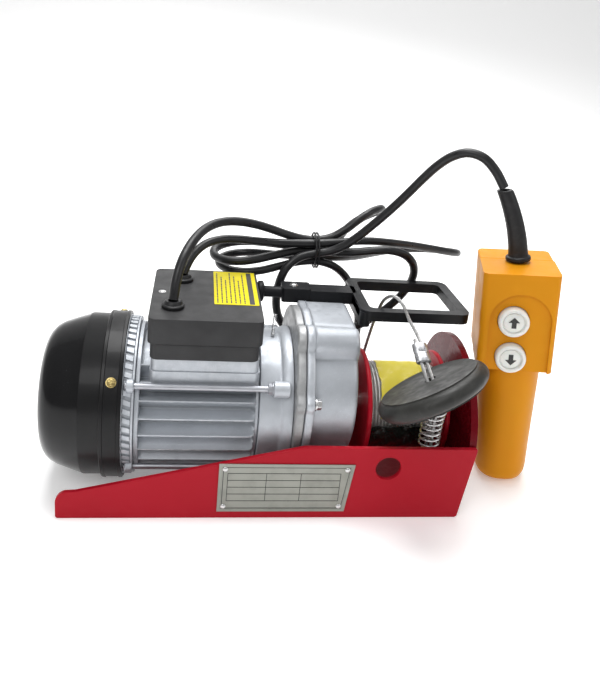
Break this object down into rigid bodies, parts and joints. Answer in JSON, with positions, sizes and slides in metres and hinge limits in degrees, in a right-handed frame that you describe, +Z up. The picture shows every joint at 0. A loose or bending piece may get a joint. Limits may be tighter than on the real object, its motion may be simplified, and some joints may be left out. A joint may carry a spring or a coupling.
{
  "type": "electric wire rope hoist",
  "caption": "Small electric wire rope hoist with a finned motor, gearbox, rope drum in a sheet frame, limit lever, stowed hook and a wired push-button pendant.",
  "frame": {"origin": "On the underside of the mounting web, below the motor's axis and midway along the web; the hoist lies on this face.", "axes": "+X along the motor from the fan cover to the drum's far end, -Y the front with the nameplate, +Z up, away from the mounting face."},
  "size_m": [0.4446, 0.2832, 0.2982],
  "materials": {
    "red_paint": "satin red enamel on sheet steel",
    "plate_metal": "satin silver plate",
    "cover_plastic": "glossy black moulding",
    "box_plastic": "matt dark grey moulding",
    "lever_plastic": "semi-matt black moulding",
    "cast_metal": "silver paint on a fine die casting",
    "bright_steel": "zinc plated",
    "dark_steel": "oiled steel",
    "ferrule_metal": "pressed aluminium",
    "rope_steel": "galvanised stranded rope",
    "brass_plating": "yellow passivated screw",
    "copper": "varnished winding wire",
    "black_rubber": "satin black rubber",
    "disc_rubber": "dark grey moulded rubber",
    "cable_jacket": "satin black cable jacket",
    "pendant_plastic": "satin orange moulding",
    "white_plastic": "satin off-white moulding",
    "yellow_label": "yellow paper label under clear film"
  },
  "bodies": {
    "root": {"front_side_plate": "red_paint", "back_side_plate": "red_paint", "mounting_web": "red_paint", "drum_end_plate": "red_paint", "nameplate": "plate_metal", "fan_cover": "cover_plastic", "cover_screw_front": "brass_plating", "cover_screw_back": "brass_plating", "rear_end_shield": "cast_metal", "motor_housing": "cast_metal", "stator_core": "dark_steel", "stator_windings": "copper", "rear_bearing": "bright_steel", "front_bearing": "bright_steel", "front_end_shield": "cast_metal", "tie_rod_front_top": "bright_steel", "tie_rod_front_low": "bright_steel", "tie_rod_back_top": "bright_steel", "tie_rod_back_low": "bright_steel", "gearbox_cover": "cast_metal", "gearbox_housing": "cast_metal", "gearbox_bolt_front": "bright_steel", "gearbox_bolt_back": "bright_steel", "gearbox_bolt_low": "bright_steel", "output_bearing": "bright_steel", "drum_end_bearing": "bright_steel", "terminal_box_base": "box_plastic", "terminal_box_lid": "box_plastic", "front_grommet": "black_rubber", "back_grommet": "black_rubber", "capacitor": "white_plastic", "limit_switch": "box_plastic", "lever_spring": "bright_steel", "rope_lead": "rope_steel", "ferrule": "ferrule_metal", "buffer_spring": "bright_steel", "pendant_front": "pendant_plastic", "pendant_back": "pendant_plastic", "pendant_switch_block": "box_plastic", "pendant_boot": "black_rubber", "pendant_cable": "cable_jacket", "mains_lead": "cable_jacket", "mains_plug": "cable_jacket", "cable_tie": "cable_jacket"},
    "drum": {"drum": "red_paint", "rope_winding": "rope_steel", "rope_label": "yellow_label", "drum_shaft": "bright_steel", "output_gear": "dark_steel"},
    "countershaft": {"intermediate_gear": "dark_steel", "intermediate_pinion": "dark_steel"},
    "rotor": {"rotor_shaft": "bright_steel", "rotor_core": "dark_steel", "cooling_fan": "box_plastic"},
    "lever": {"limit_lever": "lever_plastic"},
    "disc": {"stop_disc": "disc_rubber"},
    "hook": {"hook": "dark_steel"},
    "latch": {"hook_latch": "bright_steel"},
    "up_button": {"up_button": "white_plastic"},
    "down_button": {"down_button": "white_plastic"}
  },
  "joints": [
    {"name": "drum_spin", "type": "hinge", "parent": "root", "child": "drum", "pos_m": [0, 0, 0.067], "axis": [1, 0, 0], "continuous": true},
    {"name": "countershaft_spin", "type": "hinge", "parent": "root", "child": "countershaft", "pos_m": [-0.045, -0.02034, 0.09998], "axis": [1, 0, 0], "continuous": true},
    {"name": "rotor_spin", "type": "hinge", "parent": "root", "child": "rotor", "pos_m": [-0.15, 0, 0.0715], "axis": [1, 0, 0], "continuous": true},
    {"name": "limit_lever_tilt", "type": "hinge", "parent": "root", "child": "lever", "pos_m": [-0.09, 0.043, 0.153], "axis": [1, 0, 0], "range_deg": [0, 8], "stiffness_Nm_per_rad": 0.5, "springref_deg": -8.59},
    {"name": "stop_disc_slide", "type": "slide", "parent": "root", "child": "disc", "axis": [0.4579, -0.3285, -0.8261], "range_m": [0, 0.004], "stiffness_N_per_m": 400, "springref_m": -0.01, "deforming": ["buffer_spring"]},
    {"name": "hook_swivel", "type": "hinge", "parent": "root", "child": "hook", "pos_m": [0.044, -0.06, 0.052], "axis": [0, 0, 1], "range_deg": [-12, 12]},
    {"name": "latch_tilt", "type": "hinge", "parent": "hook", "child": "latch", "pos_m": [0.0511, -0.06, 0.043], "axis": [0, 1, 0], "range_deg": [0, 30], "stiffness_Nm_per_rad": 0.02, "springref_deg": -5.73},
    {"name": "up_button_press", "type": "slide", "parent": "root", "child": "up_button", "axis": [0.2756, 0.9613, 0], "range_m": [0, 0.003], "stiffness_N_per_m": 300, "springref_m": -0.002},
    {"name": "down_button_press", "type": "slide", "parent": "root", "child": "down_button", "axis": [0.2756, 0.9613, 0], "range_m": [0, 0.003], "stiffness_N_per_m": 300, "springref_m": -0.002}
  ],
  "couplings": [
    {"joint": "countershaft_spin", "follows": "drum_spin", "ratio": -6.75},
    {"joint": "rotor_spin", "follows": "drum_spin", "ratio": 40.5}
  ]
}
